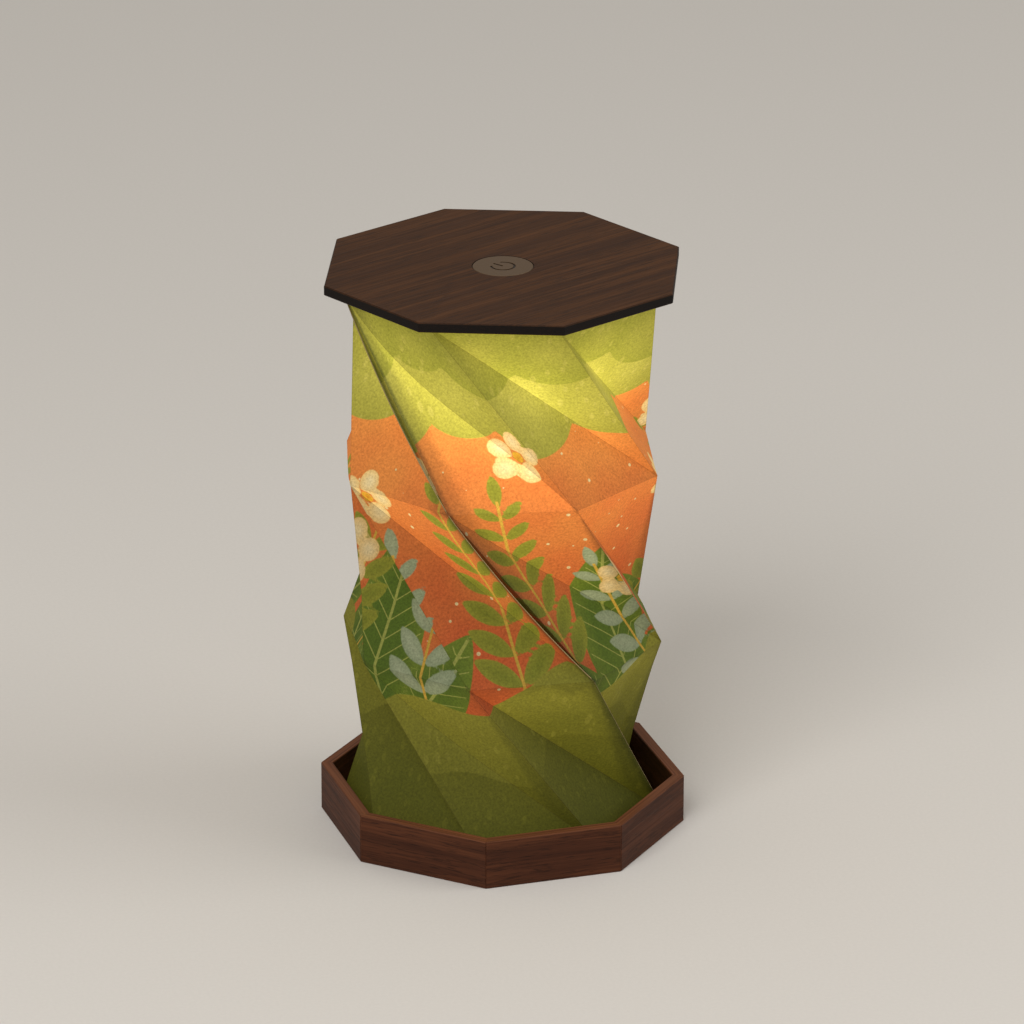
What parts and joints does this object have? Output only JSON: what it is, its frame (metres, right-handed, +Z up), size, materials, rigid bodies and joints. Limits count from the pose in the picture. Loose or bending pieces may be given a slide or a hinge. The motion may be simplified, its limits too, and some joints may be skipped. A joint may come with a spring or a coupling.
{
  "type": "folding table lamp",
  "caption": "Octagonal walnut lid and tray joined by a twist-folded printed paper shade; the lamp hangs under the lid, and the lid turns down to fold it flat.",
  "frame": {"origin": "centre of the tray's underside, on the surface that the lamp stands on", "axes": "+Z up along the axis that the lid turns about and drops along, +X and +Y square to flats of the tray"},
  "size_m": [0.146, 0.146, 0.2332],
  "materials": {
    "rail_walnut": "oiled",
    "floor_walnut": "oiled",
    "lid_walnut": "oiled veneer",
    "printed_paper": "printed, translucent",
    "plain_paper": "matte",
    "touch_plate": "anodised, engraved",
    "conductive_foam": "foam",
    "housing_plastic": "moulded",
    "screw_steel": "plated",
    "opal_plastic": "opal",
    "white_plastic": "moulded",
    "lamp_board_metal": "white solder mask",
    "lamp_chip": "phosphor",
    "cell_foil": "foil pouch",
    "pin_brass": "plated",
    "circuit_board": "solder mask",
    "black_plastic": "moulded",
    "socket_steel": "drawn shell"
  },
  "bodies": {
    "tray": {"tray_rail_1": "rail_walnut", "tray_rail_2": "rail_walnut", "tray_rail_3": "rail_walnut", "tray_rail_4": "rail_walnut", "tray_rail_5": "rail_walnut", "tray_rail_6": "rail_walnut", "tray_rail_7": "rail_walnut", "tray_rail_8": "rail_walnut", "tray_floor": "floor_walnut", "lower_glue_flaps": "plain_paper"},
    "shade": {"paper_shade": "printed_paper"},
    "lid": {"lid_panel": "lid_walnut", "touch_disc": "touch_plate", "touch_pad": "conductive_foam", "upper_glue_flaps": "plain_paper", "lamp_housing": "housing_plastic", "housing_screws": "screw_steel", "diffuser": "opal_plastic", "spacer_ring": "white_plastic", "lamp_board": "lamp_board_metal", "lamp_chips": "lamp_chip", "battery_cell": "cell_foil", "link_pins": "pin_brass", "control_board": "circuit_board", "board_components": "black_plastic", "charging_socket": "socket_steel"}
  },
  "joints": [
    {"name": "shade_twist", "type": "hinge", "parent": "tray", "child": "shade", "pos_m": [0, 0, 0.004], "axis": [0, 0, 1], "range_deg": [-113.8, 0]},
    {"name": "lid_drop", "type": "slide", "parent": "shade", "child": "lid", "axis": [0, 0, 1], "range_m": [-0.2089, 0], "deforming": ["paper_shade"]}
  ],
  "couplings": [
    {"joint": "shade_twist", "follows": "lid_drop", "rad_per_m": 9.507}
  ]
}
